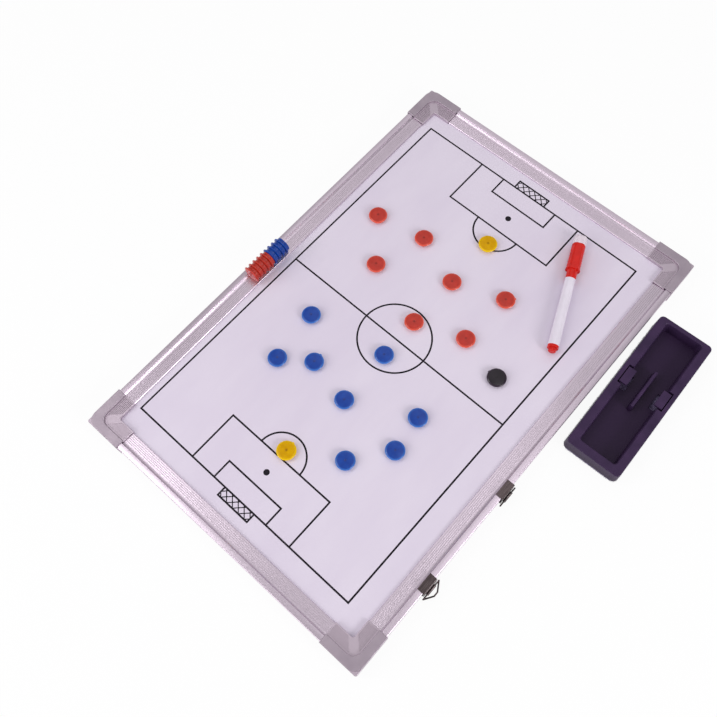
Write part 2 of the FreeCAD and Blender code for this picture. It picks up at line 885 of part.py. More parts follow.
# Centre rib, round-ended and thinner towards its top
rib_top = eraser_top - rib_drop
taper = rib_base_thickness - rib_top_thickness
rib = Part.makeLoft(
    [
        rounded(rib_length + taper, rib_base_thickness, rib_base_thickness * rib_end_share, tray_low),
        rounded(rib_length, rib_top_thickness, rib_top_thickness * rib_end_share, rib_top),
    ],
    True,
    True,
)
rib = rib.makeFillet(rib_round, top_edges(rib, rib_top))
pieces = [shell, turned(rib, 0, snap_place)] + snaps
eraser = join(pieces).cut(Part.makeCompound(windows))
save("eraser_body", turned(eraser, eraser_turn, eraser_place))
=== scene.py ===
import math
import random

import bmesh
import bpy
from mathutils import Matrix, Vector, noise


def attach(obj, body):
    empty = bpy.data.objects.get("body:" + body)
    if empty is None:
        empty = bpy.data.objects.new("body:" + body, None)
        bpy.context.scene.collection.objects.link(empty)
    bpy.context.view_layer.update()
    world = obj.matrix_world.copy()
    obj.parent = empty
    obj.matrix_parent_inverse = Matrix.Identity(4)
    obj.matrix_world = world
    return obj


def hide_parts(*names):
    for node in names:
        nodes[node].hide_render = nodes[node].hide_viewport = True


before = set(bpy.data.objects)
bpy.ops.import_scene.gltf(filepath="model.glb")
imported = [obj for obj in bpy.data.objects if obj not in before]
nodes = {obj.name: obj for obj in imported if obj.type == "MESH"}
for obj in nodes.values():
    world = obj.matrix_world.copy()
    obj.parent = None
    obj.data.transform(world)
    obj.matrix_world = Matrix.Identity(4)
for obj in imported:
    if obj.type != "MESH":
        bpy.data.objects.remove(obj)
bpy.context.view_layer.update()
mm = 0.001
noiseLow, noiseHigh = 0.3, 0.7  # noise values mostly lie between these
print("frame loaded:", len(nodes), "nodes")


# an sRGB hex colour as the linear values that sockets take
def linear(hexText):
    channels = []
    for i in (0, 2, 4):
        c = int(hexText[i:i + 2], 16) / 255
        channels.append(c / 12.92 if c <= 0.04045 else ((c + 0.055) / 1.055) ** 2.4)
    return (*channels, 1.0)


# adds one node: values go to its sockets or settings, (node, output) pairs become links
def addNode(tree, kind, values):
    node = tree.nodes.new(kind)
    settings = [key for key in values if isinstance(key, str) and key not in node.inputs]
    for key in settings:
        setattr(node, key, values[key])
    for key, value in values.items():
        if key in settings:
            continue
        if isinstance(value, tuple) and isinstance(value[0], bpy.types.Node):
            tree.links.new(value[0].outputs[value[1]], node.inputs[key])
        else:
            node.inputs[key].default_value = value
    return node


def startMaterial(name):
    material = bpy.data.materials.new(name)
    material.use_nodes = True
    material.node_tree.nodes.clear()
    return material, material.node_tree


# one pattern cell of this size in millimetres along each axis
def perMm(*sizes):
    return tuple(1.0 / (size * mm) for size in sizes)


# Extruded aluminium, satin anodised: soft grey sheen, faint die lines, painted shade between the
# ridges
railFinish = {
    "crest": "d7c8d6", "dullAndShaded": "c8bac7", "rough": (0.34, 0.44),
    "spread": 0.6, "spreadTurn": 0.25,  # share of a full turn between die lines and spread
    # the ridge share sets the painted shade in the hollows between the ridges
    "lineShare": 0.18, "hollowShadeShare": 0.08, "cloudShare": (-0.1, 0.2), "cloudMm": 60.0,
    "dieLineMm": 1.1, "dieRunMm": 240.0,  # real die lines are finer; drawn this coarse to show
    "ridgeFromMm": 8.45, "ridgeToMm": 15.95, "ridgePitchMm": 1.5,
}
longWallMm, shortWallMm = 149.15, 224.15  # from the board's middle to a rail's outer wall


def anodisedAluminium(name, across, wallMm):
    finish = railFinish
    material, tree = startMaterial(name)
    place = addNode(tree, "ShaderNodeTexCoord", {})
    line, run = finish["dieLineMm"], finish["dieRunMm"]
    stretch = addNode(tree, "ShaderNodeMapping", {
        "Vector": (place, "Object"),
        "Scale": perMm(run, line, line) if across == "Y" else perMm(line, run, line),
    })
    dieLines = addNode(tree, "ShaderNodeTexNoise", {
        "Vector": (stretch, "Vector"), "Scale": 1.0, "Detail": 1.0, "Roughness": 0.5,
    })
    cloud = addNode(tree, "ShaderNodeTexNoise", {
        "Vector": (place, "Object"), "Scale": 1.0 / (finish["cloudMm"] * mm), "Detail": 2.0,
    })
    # how far in from the outer wall, in metres
    split = addNode(tree, "ShaderNodeSeparateXYZ", {"Vector": (place, "Object")})
    outward = addNode(tree, "ShaderNodeMath", {"operation": "ABSOLUTE", 0: (split, across)})
    inward = addNode(tree, "ShaderNodeMath", {
        "operation": "SUBTRACT", 0: wallMm * mm, 1: (outward, "Value"),
    })
    # painted shade in the hollows between the ridges
    fromFirst = addNode(tree, "ShaderNodeMath", {
        "operation": "SUBTRACT", 0: (inward, "Value"), 1: finish["ridgeFromMm"] * mm,
    })
    turns = addNode(tree, "ShaderNodeMath", {
        "operation": "MULTIPLY", 0: (fromFirst, "Value"),
        1: 2 * math.pi / (finish["ridgePitchMm"] * mm),
    })
    wave = addNode(tree, "ShaderNodeMath", {"operation": "COSINE", 0: (turns, "Value")})
    hollowShadeWave = addNode(tree, "ShaderNodeMapRange", {
        "Value": (wave, "Value"), "From Min": 0.0, "From Max": 1.0, "To Max": finish["hollowShadeShare"],
    })
    past = addNode(tree, "ShaderNodeMath", {
        "operation": "GREATER_THAN", 0: (inward, "Value"), 1: finish["ridgeFromMm"] * mm,
    })
    before = addNode(tree, "ShaderNodeMath", {
        "operation": "LESS_THAN", 0: (inward, "Value"), 1: finish["ridgeToMm"] * mm,
    })
    ridged = addNode(tree, "ShaderNodeMath", {
        "operation": "MULTIPLY", 0: (past, "Value"), 1: (before, "Value"),
    })
    paintedHollowShade = addNode(tree, "ShaderNodeMath", {
        "operation": "MULTIPLY", 0: (hollowShadeWave, "Result"), 1: (ridged, "Value"),
    })
    streak = addNode(tree, "ShaderNodeMapRange", {
        "Value": (dieLines, "Fac"), "From Min": noiseLow, "From Max": noiseHigh,
        "To Max": finish["lineShare"],
    })
    patch = addNode(tree, "ShaderNodeMapRange", {
        "Value": (cloud, "Fac"), "From Min": noiseLow, "From Max": noiseHigh,
        "To Min": finish["cloudShare"][0], "To Max": finish["cloudShare"][1],
    })
    wear = addNode(tree, "ShaderNodeMath", {
        "operation": "ADD", 0: (streak, "Result"), 1: (patch, "Result"),
    })
    # die lines and clouds are the metal's own tone; the hollows add painted shade
    dullnessAndShade = addNode(tree, "ShaderNodeMath", {
        "operation": "ADD", 0: (wear, "Value"), 1: (paintedHollowShade, "Value"), "use_clamp": True,
    })
    colour = addNode(tree, "ShaderNodeMix", {
        "data_type": "RGBA", 0: (dullnessAndShade, "Value"),
        6: linear(finish["crest"]), 7: linear(finish["dullAndShaded"]),
    })
    rough = addNode(tree, "ShaderNodeMapRange", {
        "Value": (dullnessAndShade, "Value"), "To Min": finish["rough"][0], "To Max": finish["rough"][1],
    })
    # the die lines run along the rail and spread a highlight across it, a quarter turn from them
    alongRail = addNode(tree, "ShaderNodeVectorTransform", {
        "vector_type": "VECTOR", "convert_from": "OBJECT", "convert_to": "WORLD",
        "Vector": (1, 0, 0) if across == "Y" else (0, 1, 0),
    })
    shader = addNode(tree, "ShaderNodeBsdfPrincipled", {
        "Base Color": (colour, 2), "Metallic": 1.0, "Roughness": (rough, "Result"),
        "Anisotropic": finish["spread"], "Anisotropic Rotation": finish["spreadTurn"],
        "Tangent": (alongRail, "Vector"),
    })
    addNode(tree, "ShaderNodeOutputMaterial", {"Surface": (shader, "BSDF")})
    return material


# Injection-moulded plastic: even colour with faint flow clouds. Corners and eraser come from a
# spark-eroded tool and look matt and grained; the grey is filled with aluminium flake and takes a
# silvery sheen. Counters and marker come from a polished tool and catch sharper highlights
cornerFinish = {
    "light": "b0a2ae", "dark": "a395a2", "cloudMm": 14.0, "grainMm": 0.7, "dentMm": 0.05,
    "bump": 0.25, "rough": (0.40, 0.50), "gloss": 0.5, "flake": 0.55,
    "lower": "c0b1be", "lowerFromMm": 14.9, "lowerToMm": 13.95,  # ribbed band painted paler: painted light over the shade of its grooves
}
eraserFinish = {
    "light": "402b4e", "dark": "30203e", "cloudMm": 18.0, "grainMm": 0.8, "dentMm": 0.06,
    "bump": 0.45, "rough": (0.42, 0.56), "gloss": 0.18, "flake": 0.0,
    "lower": "2d1b39", "lowerFromMm": 15.0, "lowerToMm": 7.5,  # painted shade, darker towards the tray's floor
}
glossFinish = {
    "cloudMm": 5.0, "grainMm": 0.9, "dentMm": 0.02, "bump": 0.08, "rough": (0.17, 0.25),
    "gloss": 0.35, "flake": 0.0,
}
counterFinish = dict(glossFinish, lowerFromMm=15.2, lowerToMm=14.7)  # sloping edge painted paler: a painted highlight
# the lower colours are painted highlights on the counters' sloping edges
redFinish = dict(counterFinish, light="bd2f22", dark="ab271b", lower="de5a48")
blueFinish = dict(counterFinish, light="0f429f", dark="0a368e", lower="3c70c2")
yellowFinish = dict(counterFinish, light="d7a400", dark="c89200", lower="e9c01a", gloss=0.1)
blackFinish = dict(counterFinish, light="1b101d", dark="140b16", lower="382b3b")
penFinish = dict(glossFinish, light="d42119", dark="c61b14", gloss=0.3)
whiteFinish = dict(glossFinish, light="e7dfec", dark="ddd4e2", cloudMm=25.0, gloss=0.45)
# the counters on the face are darker in a spot over the dimple in the middle of their tops
centreSpot = {"acrossMm": 17.0, "coreMm": 0.4, "fadeMm": 1.7, "share": 0.65}
absIor, polypropyleneIor = 1.53, 1.49


def mouldedPlastic(name, finish, ior):
    material, tree = startMaterial(name)
    place = addNode(tree, "ShaderNodeTexCoord", {})
    cloud = addNode(tree, "ShaderNodeTexNoise", {
        "Vector": (place, "Object"), "Scale": 1.0 / (finish["cloudMm"] * mm), "Detail": 3.0,
    })
    grain = addNode(tree, "ShaderNodeTexNoise", {  # tool grain, drawn coarse enough to show
        "Vector": (place, "Object"), "Scale": 1.0 / (finish["grainMm"] * mm), "Detail": 2.0,
    })
    tone = addNode(tree, "ShaderNodeMapRange", {
        "Value": (cloud, "Fac"), "From Min": noiseLow, "From Max": noiseHigh,
    })
    colour = addNode(tree, "ShaderNodeMix", {
        "data_type": "RGBA", 0: (tone, "Result"),
        6: linear(finish["dark"]), 7: linear(finish["light"]),
    })
    # painted tone by height: painted light on the corner caps' ribbed band, painted highlights on
    # the counters' edges, painted shade towards the eraser's tray floor
    if "lower" in finish:
        split = addNode(tree, "ShaderNodeSeparateXYZ", {"Vector": (place, "Object")})
        low = addNode(tree, "ShaderNodeMapRange", {
            "Value": (split, "Z"),
            "From Min": finish["lowerFromMm"] * mm, "From Max": finish["lowerToMm"] * mm,
        })
        colour = addNode(tree, "ShaderNodeMix", {
            "data_type": "RGBA", 0: (low, "Result"), 6: (colour, 2), 7: linear(finish["lower"]),
        })
    if "mark" in finish:
        across = centreSpot["acrossMm"] * mm
        centred = addNode(tree, "ShaderNodeVectorMath", {
            "operation": "SUBTRACT", 0: (place, "Generated"), 1: (0.5, 0.5, 0.0),
        })
        flat = addNode(tree, "ShaderNodeVectorMath", {
            "operation": "MULTIPLY", 0: (centred, "Vector"), 1: (across, across, 0.0),
        })
        away = addNode(tree, "ShaderNodeVectorMath", {"operation": "LENGTH", 0: (flat, "Vector")})
        near = addNode(tree, "ShaderNodeMapRange", {
            "Value": (away, "Value"), "From Min": centreSpot["fadeMm"] * mm,
            "From Max": centreSpot["coreMm"] * mm, "To Max": centreSpot["share"],
        })
        colour = addNode(tree, "ShaderNodeMix", {
            "data_type": "RGBA", 0: (near, "Result"), 6: (colour, 2), 7: linear(finish["mark"]),
        })
    rough = addNode(tree, "ShaderNodeMapRange", {
        "Value": (grain, "Fac"), "From Min": noiseLow, "From Max": noiseHigh,
        "To Min": finish["rough"][0], "To Max": finish["rough"][1],
    })
    relief = addNode(tree, "ShaderNodeBump", {
        "Height": (grain, "Fac"), "Distance": finish["dentMm"] * mm, "Strength": finish["bump"],
    })
    shader = addNode(tree, "ShaderNodeBsdfPrincipled", {
        "Base Color": (colour, 2), "Metallic": finish["flake"], "Roughness": (rough, "Result"),
        "IOR": ior, "Specular IOR Level": finish["gloss"], "Normal": (relief, "Normal"),
    })
    addNode(tree, "ShaderNodeOutputMaterial", {"Surface": (shader, "BSDF")})
    return material


# White lacquer baked on steel sheet: smooth, half gloss, with faint smears from wiping
faceFinish = {
    "clean": "e0d6e6", "smeared": "dacfe1", "smearMm": (70.0, 22.0, 22.0), "smearTurn": 35.0,
    "cloudMm": 130.0, "toneSpan": (0.75, 1.3), "peelMm": 2.4, "peelDentMm": 0.02, "bump": 0.12,
    "rough": (0.30, 0.40), "ior": 1.5, "gloss": 0.35,
}


def lacqueredSteel(name):
    finish = faceFinish
    material, tree = startMaterial(name)
    place = addNode(tree, "ShaderNodeTexCoord", {})
    turned = addNode(tree, "ShaderNodeMapping", {
        "Vector": (place, "Object"), "Rotation": (0, 0, math.radians(finish["smearTurn"])),
        "Scale": perMm(*finish["smearMm"]),
    })
    smear = addNode(tree, "ShaderNodeTexNoise", {
        "Vector": (turned, "Vector"), "Scale": 1.0, "Detail": 3.0, "Roughness": 0.5,
    })
    cloud = addNode(tree, "ShaderNodeTexNoise", {
        "Vector": (place, "Object"), "Scale": 1.0 / (finish["cloudMm"] * mm), "Detail": 2.0,
    })
    peel = addNode(tree, "ShaderNodeTexNoise", {
        "Vector": (place, "Object"), "Scale": 1.0 / (finish["peelMm"] * mm), "Detail": 1.0,
    })
    both = addNode(tree, "ShaderNodeMath", {
        "operation": "ADD", 0: (smear, "Fac"), 1: (cloud, "Fac"),
    })
    tone = addNode(tree, "ShaderNodeMapRange", {
        "Value": (both, "Value"),
        "From Min": finish["toneSpan"][0], "From Max": finish["toneSpan"][1],
    })
    colour = addNode(tree, "ShaderNodeMix", {
        "data_type": "RGBA", 0: (tone, "Result"),
        6: linear(finish["clean"]), 7: linear(finish["smeared"]),
    })
    rough = addNode(tree, "ShaderNodeMapRange", {
        "Value": (smear, "Fac"), "From Min": noiseLow, "From Max": noiseHigh,
        "To Min": finish["rough"][0], "To Max": finish["rough"][1],
    })
    relief = addNode(tree, "ShaderNodeBump", {
        "Height": (peel, "Fac"), "Distance": finish["peelDentMm"] * mm,
        "Strength": finish["bump"],
    })
    shader = addNode(tree, "ShaderNodeBsdfPrincipled", {
        "Base Color": (colour, 2), "Roughness": (rough, "Result"), "IOR": finish["ior"],
        "Specular IOR Level": finish["gloss"], "Normal": (relief, "Normal"),
    })
    addNode(tree, "ShaderNodeOutputMaterial", {"Surface": (shader, "BSDF")})
    return material


# Screen-printed enamel ink: near black, a little uneven, drier than the lacquer under it
inkFinish = {
    "dense": "141017", "thin": "221c26", "mottleMm": 1.6, "rough": (0.42, 0.58), "gloss": 0.15,
}


def screenedInk(name):
    finish = inkFinish
    material, tree = startMaterial(name)
    place = addNode(tree, "ShaderNodeTexCoord", {})
    mottle = addNode(tree, "ShaderNodeTexNoise", {
        "Vector": (place, "Object"), "Scale": 1.0 / (finish["mottleMm"] * mm), "Detail": 3.0,
    })
    tone = addNode(tree, "ShaderNodeMapRange", {
        "Value": (mottle, "Fac"), "From Min": noiseLow, "From Max": noiseHigh,
    })
    colour = addNode(tree, "ShaderNodeMix", {
        "data_type": "RGBA", 0: (tone, "Result"),
        6: linear(finish["dense"]), 7: linear(finish["thin"]),
    })
    rough = addNode(tree, "ShaderNodeMapRange", {
        "Value": (mottle, "Fac"), "From Min": noiseLow, "From Max": noiseHigh,
        "To Min": finish["rough"][0], "To Max": finish["rough"][1],
    })
    shader = addNode(tree, "ShaderNodeBsdfPrincipled", {
        "Base Color": (colour, 2), "Roughness": (rough, "Result"),
        "Specular IOR Level": finish["gloss"],
    })
    addNode(tree, "ShaderNodeOutputMaterial", {"Surface": (shader, "BSDF")})
    return material


# Plated steel: strip and wire with drawn-out rolling lines, screws with a mottled zinc coat
# the nickel's colours are painted dark: a painted dark reflection, far darker than bare nickel
nickelFinish = {
    "dark": "41383a", "light": "635859", "cellMm": (7.0, 0.7, 0.7), "rough": (0.18, 0.32),
    "dentMm": 0.03, "bump": 0.2,
}
zincFinish = dict(
    nickelFinish, dark="8d8b90", light="adabaf", cellMm=(0.8, 0.8, 0.8), rough=(0.30, 0.48))


def platedSteel(name, finish):
    material, tree = startMaterial(name)
    place = addNode(tree, "ShaderNodeTexCoord", {})
    stretch = addNode(tree, "ShaderNodeMapping", {  # drawn coarser than real, to show
        "Vector": (place, "Object"), "Scale": perMm(*finish["cellMm"]),
    })
    rolled = addNode(tree, "ShaderNodeTexNoise", {
        "Vector": (stretch, "Vector"), "Scale": 1.0, "Detail": 3.0,
    })
    tone = addNode(tree, "ShaderNodeMapRange", {
        "Value": (rolled, "Fac"), "From Min": noiseLow, "From Max": noiseHigh,
    })
    colour = addNode(tree, "ShaderNodeMix", {
        "data_type": "RGBA", 0: (tone, "Result"),
        6: linear(finish["dark"]), 7: linear(finish["light"]),
    })
    rough = addNode(tree, "ShaderNodeMapRange", {
        "Value": (rolled, "Fac"), "From Min": noiseLow, "From Max": noiseHigh,
        "To Min": finish["rough"][0], "To Max": finish["rough"][1],
    })
    relief = addNode(tree, "ShaderNodeBump", {
        "Height": (rolled, "Fac"), "Distance": finish["dentMm"] * mm, "Strength": finish["bump"],
    })
    shader = addNode(tree, "ShaderNodeBsdfPrincipled", {
        "Base Color": (colour, 2), "Metallic": 1.0, "Roughness": (rough, "Result"),
        "Normal": (relief, "Normal"),
    })
    addNode(tree, "ShaderNodeOutputMaterial", {"Surface": (shader, "BSDF")})
    return material


# Hot-dip galvanised sheet: flat zinc crystals some millimetres across, each its own grey
spangleFinish = {
    "dark": "9fa2a6", "light": "bfc2c5", "crystalMm": 7.0, "hazeMm": 40.0,
    "toneSpan": (0.3, 1.6), "rough": (0.34, 0.5),
}


def galvanisedSheet(name):
    finish = spangleFinish
    material, tree = startMaterial(name)
    place = addNode(tree, "ShaderNodeTexCoord", {})
    crystals = addNode(tree, "ShaderNodeTexVoronoi", {
        "Vector": (place, "Object"), "Scale": 1.0 / (finish["crystalMm"] * mm),
    })
    split = addNode(tree, "ShaderNodeSeparateColor", {"Color": (crystals, "Color")})
    haze = addNode(tree, "ShaderNodeTexNoise", {
        "Vector": (place, "Object"), "Scale": 1.0 / (finish["hazeMm"] * mm), "Detail": 3.0,
    })
    both = addNode(tree, "ShaderNodeMath", {
        "operation": "ADD", 0: (split, "Red"), 1: (haze, "Fac"),
    })
    tone = addNode(tree, "ShaderNodeMapRange", {
        "Value": (both, "Value"),
        "From Min": finish["toneSpan"][0], "From Max": finish["toneSpan"][1],
    })
    colour = addNode(tree, "ShaderNodeMix", {
        "data_type": "RGBA", 0: (tone, "Result"),
        6: linear(finish["dark"]), 7: linear(finish["light"]),
    })
    rough = addNode(tree, "ShaderNodeMapRange", {
        "Value": (split, "Green"), "To Min": finish["rough"][0], "To Max": finish["rough"][1],
    })
    shader = addNode(tree, "ShaderNodeBsdfPrincipled", {
        "Base Color": (colour, 2), "Metallic": 1.0, "Roughness": (rough, "Result"),
    })
    addNode(tree, "ShaderNodeOutputMaterial", {"Surface": (shader, "BSDF")})
    return material


# Pressed fibreboard: brown, matted short fibres. Sintered ferrite: dark ceramic, ground face
boardFinish = {
    "dark": "a3875f", "light": "c0a47c", "cellMm": (3.0, 0.6, 0.6), "dentMm": 0.1, "bump": 0.4,
    "rough": 0.85,
}
ferriteFinish = {
    "dark": "2d2d30", "light": "46464a", "cellMm": (0.5, 0.5, 0.5), "dentMm": 0.02, "bump": 0.4,
    "rough": 0.6,
}


def pressedGrain(name, finish):
    material, tree = startMaterial(name)
    place = addNode(tree, "ShaderNodeTexCoord", {})
    stretch = addNode(tree, "ShaderNodeMapping", {
        "Vector": (place, "Object"), "Scale": perMm(*finish["cellMm"]),
    })
    specks = addNode(tree, "ShaderNodeTexNoise", {
        "Vector": (stretch, "Vector"), "Scale": 1.0, "Detail": 4.0,
    })
    tone = addNode(tree, "ShaderNodeMapRange", {
        "Value": (specks, "Fac"), "From Min": noiseLow, "From Max": noiseHigh,
    })
    colour = addNode(tree, "ShaderNodeMix", {
        "data_type": "RGBA", 0: (tone, "Result"),
        6: linear(finish["dark"]), 7: linear(finish["light"]),
    })
    relief = addNode(tree, "ShaderNodeBump", {
        "Height": (specks, "Fac"), "Distance": finish["dentMm"] * mm, "Strength": finish["bump"],
    })
    shader = addNode(tree, "ShaderNodeBsdfPrincipled", {
        "Base Color": (colour, 2), "Roughness": finish["rough"], "Normal": (relief, "Normal"),
    })
    addNode(tree, "ShaderNodeOutputMaterial", {"Surface": (shader, "BSDF")})
    return material


# Needled felt and bonded fibre: matted threads, no gloss, a soft pale edge
padFinish = {"light": "7a6c92", "dark": "3d334e", "fibreMm": (0.7, 0.7, 0.35), "tuftMm": 2.2}
tipFinish = {"light": "ece1eb", "dark": "d8c8d5", "fibreMm": (0.6, 0.6, 0.6), "tuftMm": 2.2}
nibFinish = {"light": "5a3438", "dark": "3a1f24", "fibreMm": (3.0, 0.3, 0.3), "tuftMm": 2.0}
coreFinish = {"light": "8c2f30", "dark": "6a1d22", "fibreMm": (3.0, 0.4, 0.4), "tuftMm": 2.0}
feltNap = {
    "toneSpan": (0.7, 1.3), "dentMm": 0.25, "bump": 0.6, "rough": 0.95, "gloss": 0.2,
    "sheen": 0.4, "sheenRough": 0.5,
}


def needledFelt(name, finish):
    material, tree = startMaterial(name)
    place = addNode(tree, "ShaderNodeTexCoord", {})
    stretch = addNode(tree, "ShaderNodeMapping", {
        "Vector": (place, "Object"), "Scale": perMm(*finish["fibreMm"]),
    })
    fibres = addNode(tree, "ShaderNodeTexNoise", {
        "Vector": (stretch, "Vector"), "Scale": 1.0, "Detail": 5.0, "Roughness": 0.7,
    })
    tufts = addNode(tree, "ShaderNodeTexNoise", {
        "Vector": (place, "Object"), "Scale": 1.0 / (finish["tuftMm"] * mm), "Detail": 2.0,
    })
    both = addNode(tree, "ShaderNodeMath", {
        "operation": "ADD", 0: (fibres, "Fac"), 1: (tufts, "Fac"),
    })
    tone = addNode(tree, "ShaderNodeMapRange", {
        "Value": (both, "Value"),
        "From Min": feltNap["toneSpan"][0], "From Max": feltNap["toneSpan"][1],
    })
    colour = addNode(tree, "ShaderNodeMix", {
        "data_type": "RGBA", 0: (tone, "Result"),
        6: linear(finish["dark"]), 7: linear(finish["light"]),
    })
    relief = addNode(tree, "ShaderNodeBump", {
        "Height": (both, "Value"), "Distance": feltNap["dentMm"] * mm,
        "Strength": feltNap["bump"],
    })
    shader = addNode(tree, "ShaderNodeBsdfPrincipled", {
        "Base Color": (colour, 2), "Roughness": feltNap["rough"], "Normal": (relief, "Normal"),
        "Sheen Weight": feltNap["sheen"], "Sheen Roughness": feltNap["sheenRough"],
        "Specular IOR Level": feltNap["gloss"],
    })
    addNode(tree, "ShaderNodeOutputMaterial", {"Surface": (shader, "BSDF")})
    return material


longRail = anodisedAluminium("anodised_aluminium_long_rail", "Y", longWallMm)
shortRail = anodisedAluminium("anodised_aluminium_short_rail", "X", shortWallMm)
cornerAbs = mouldedPlastic("grey_abs_moulded", cornerFinish, absIor)
eraserAbs = mouldedPlastic("purple_abs_moulded", eraserFinish, absIor)
redAbs = mouldedPlastic("red_abs_moulded", redFinish, absIor)
blueAbs = mouldedPlastic("blue_abs_moulded", blueFinish, absIor)
redGated = mouldedPlastic(
    "red_abs_moulded_centre_gate", dict(redFinish, mark="6e1712"), absIor)
blueGated = mouldedPlastic(
    "blue_abs_moulded_centre_gate", dict(blueFinish, mark="1c2560"), absIor)
yellowGated = mouldedPlastic(
    "yellow_abs_moulded_centre_gate", dict(yellowFinish, mark="7c4f0a"), absIor)
blackGated = mouldedPlastic(
    "black_abs_moulded_centre_gate", dict(blackFinish, mark="0b060c"), absIor)
penPlastic = mouldedPlastic("red_polypropylene_moulded", penFinish, polypropyleneIor)
barrelPlastic = mouldedPlastic("white_polypropylene_moulded", whiteFinish, polypropyleneIor)
faceLacquer = lacqueredSteel("white_lacquered_steel_baked")
pitchInk = screenedInk("black_enamel_ink_screened")
clipNickel = platedSteel("nickel_plated_steel_bent", nickelFinish)
screwZinc = platedSteel("zinc_plated_steel_screw", zincFinish)
backZinc = galvanisedSheet("galvanised_steel_sheet")
coreBoard = pressedGrain("fibreboard_pressed", boardFinish)
ferrite = pressedGrain("ferrite_sintered", ferriteFinish)
padFelt = needledFelt("purple_felt_needled", padFinish)
tipFelt = needledFelt("white_felt_needled", tipFinish)
nibFibre = needledFelt("nib_fibre_bonded", nibFinish)
inkFibre = needledFelt("ink_fibre_bonded", coreFinish)

dressing = {
    "rail_bottom": longRail, "rail_top": longRail, "rail_left": shortRail, "rail_right": shortRail,
    "corner_bottom_left": cornerAbs, "corner_bottom_right": cornerAbs,
    "corner_top_left": cornerAbs, "corner_top_right": cornerAbs,
    "corner_screws": screwZinc, "face_sheet": faceLacquer, "pitch_print": pitchInk,
    "core_board": coreBoard, "back_sheet": backZinc,
    "clip_inner": clipNickel, "clip_outer": clipNickel,
    "bail_inner": clipNickel, "bail_outer": clipNickel,
    "marker_barrel": barrelPlastic, "marker_cap": penPlastic, "marker_plug": penPlastic,
    "marker_nib": nibFibre, "marker_ink": inkFibre, "marker_magnet": ferrite,
    "eraser_body": eraserAbs, "stack_red": redAbs, "stack_blue": blueAbs,
    "stack_discs": ferrite, "magnet_black": blackGated,
}
counterAbs = {"red": redGated, "blue": blueGated, "yellow": yellowGated}
for nodeName in nodes:
    words = nodeName.split("_")
    if words[0] == "magnet" and words[1] in counterAbs:
        dressing[nodeName] = counterAbs[words[1]]
for nodeName, material in dressing.items():
    slots = nodes[nodeName].data.materials
    slots.clear()
    slots.append(material)
print("materials on", len(dressing), "nodes")


def addPiece(name, mesh, material):
    piece = bpy.data.objects.new(name, mesh)
    bpy.context.scene.collection.objects.link(piece)
    mesh.materials.append(material)
    for face in mesh.polygons:
        face.use_smooth = True
    return piece


# joins rings of points into one closed skin, with a point at each end
def skinOverRings(rings, firstTip, lastTip):
    shape = bmesh.new()
    loops = [[shape.verts.new(p) for p in ring] for ring in rings]
    count = len(rings[0])
    for lower, upper in zip(loops, loops[1:]):
        for i in range(count):
            j = (i + 1) % count
            shape.faces.new((lower[i], lower[j], upper[j], upper[i]))
    first = shape.verts.new(firstTip)
    last = shape.verts.new(lastTip)
    for i in range(count):
        j = (i + 1) % count
        shape.faces.new((first, loops[0][j], loops[0][i]))
        shape.faces.new((last, loops[-1][i], loops[-1][j]))
    bmesh.ops.recalc_face_normals(shape, faces=shape.faces[:])
    return shape


# a direction that hardly any fibre shares, and how thick a fibre still is half way along
offSide = Vector((0.3, 0.2, 0.93))
fibreTaper = 0.7


# one loose fibre: a thin bent three-sided spike
def addFibre(shape, root, direction, length, thickness, droop, lowest):
    side = direction.cross(offSide).normalized()
    other = direction.cross(side).normalized()
    middle = root + direction * length / 2
    tip = root + direction * length - Vector((0, 0, droop))
    middle.z = max(middle.z, lowest + thickness)
    tip.z = max(tip.z, lowest)
    rings = []
    start = root - direction * thickness
    for centre, radius in ((start, thickness), (middle, thickness * fibreTaper)):
        ring = []
        for k in range(3):
            a = 2 * math.pi * k / 3
            outward = side * math.cos(a) + other * math.sin(a)
            ring.append(shape.verts.new(centre + outward * radius))
        rings.append(ring)
    end = shape.verts.new(tip)
    shape.faces.new((rings[0][2], rings[0][1], rings[0][0]))
    for k in range(3):
        n = (k + 1) % 3
        shape.faces.new((rings[0][k], rings[0][n], rings[1][n], rings[1][k]))
        shape.faces.new((rings[1][k], rings[1][n], end))


# Felt pad under the eraser: a cut slab with soft, bulged, fraying sides. Lengths in millimetres;
# a ripple is its waves per millimetre along and up the side, and its share of the fraying
eraserPad = {
    "length": 143.3, "width": 50.3, "corner": 5.0, "height": 4.0, "points": 420,
    "centre": (-93.4, 181.9), "turn": 1.68, "seed": 11,
    "swell": [
        (0.0, -0.55), (0.2, -0.15), (0.7, 0.1), (1.6, 0.4), (2.5, 0.45), (3.4, 0.2), (3.9, -0.3),
    ],
    "fray": 0.3, "coarseRipple": (0.55, 0.9, 0.7), "fineRipple": (1.9, 2.1, 0.5),
    "insets": (2.0, 4.5), "topDrop": 0.1,
    "fibres": 1700, "fibreLength": (0.5, 1.9), "fibreThick": 0.07, "fibreMargin": 0.5,
    "fibreSlant": (-1.0, 1.0), "fibreRise": (-0.4, 0.5), "fibreDroop": (0, 0.3), "lowest": 0.05,
}


# points and outward directions round a rectangle with round corners
def roundedOutline(length, width, corner, count):
    straightX = length - 2 * corner
    straightY = width - 2 * corner
    bend = math.pi * corner / 2
    total = 2 * (straightX + straightY) + 4 * bend
    runs = [(1, -1, straightY), (1, 1, straightX), (-1, 1, straightY), (-1, -1, straightX)]
    points = []
    for k in range(count):
        s = total * k / count
        for quarter, (sx, sy, straight) in enumerate(runs):
            heading = quarter * math.pi / 2
            centre = Vector((sx * straightX / 2, sy * straightY / 2, 0))
            if s < bend:
                a = heading - math.pi / 2 + s / corner
                normal = Vector((math.cos(a), math.sin(a), 0))
                points.append((centre + normal * corner, normal))
                break
            s -= bend
            if s < straight:
                normal = Vector((math.cos(heading), math.sin(heading), 0))
                tangent = Vector((-math.sin(heading), math.cos(heading), 0))
                points.append((centre + normal * corner + tangent * s, normal))
                break
            s -= straight
    return points


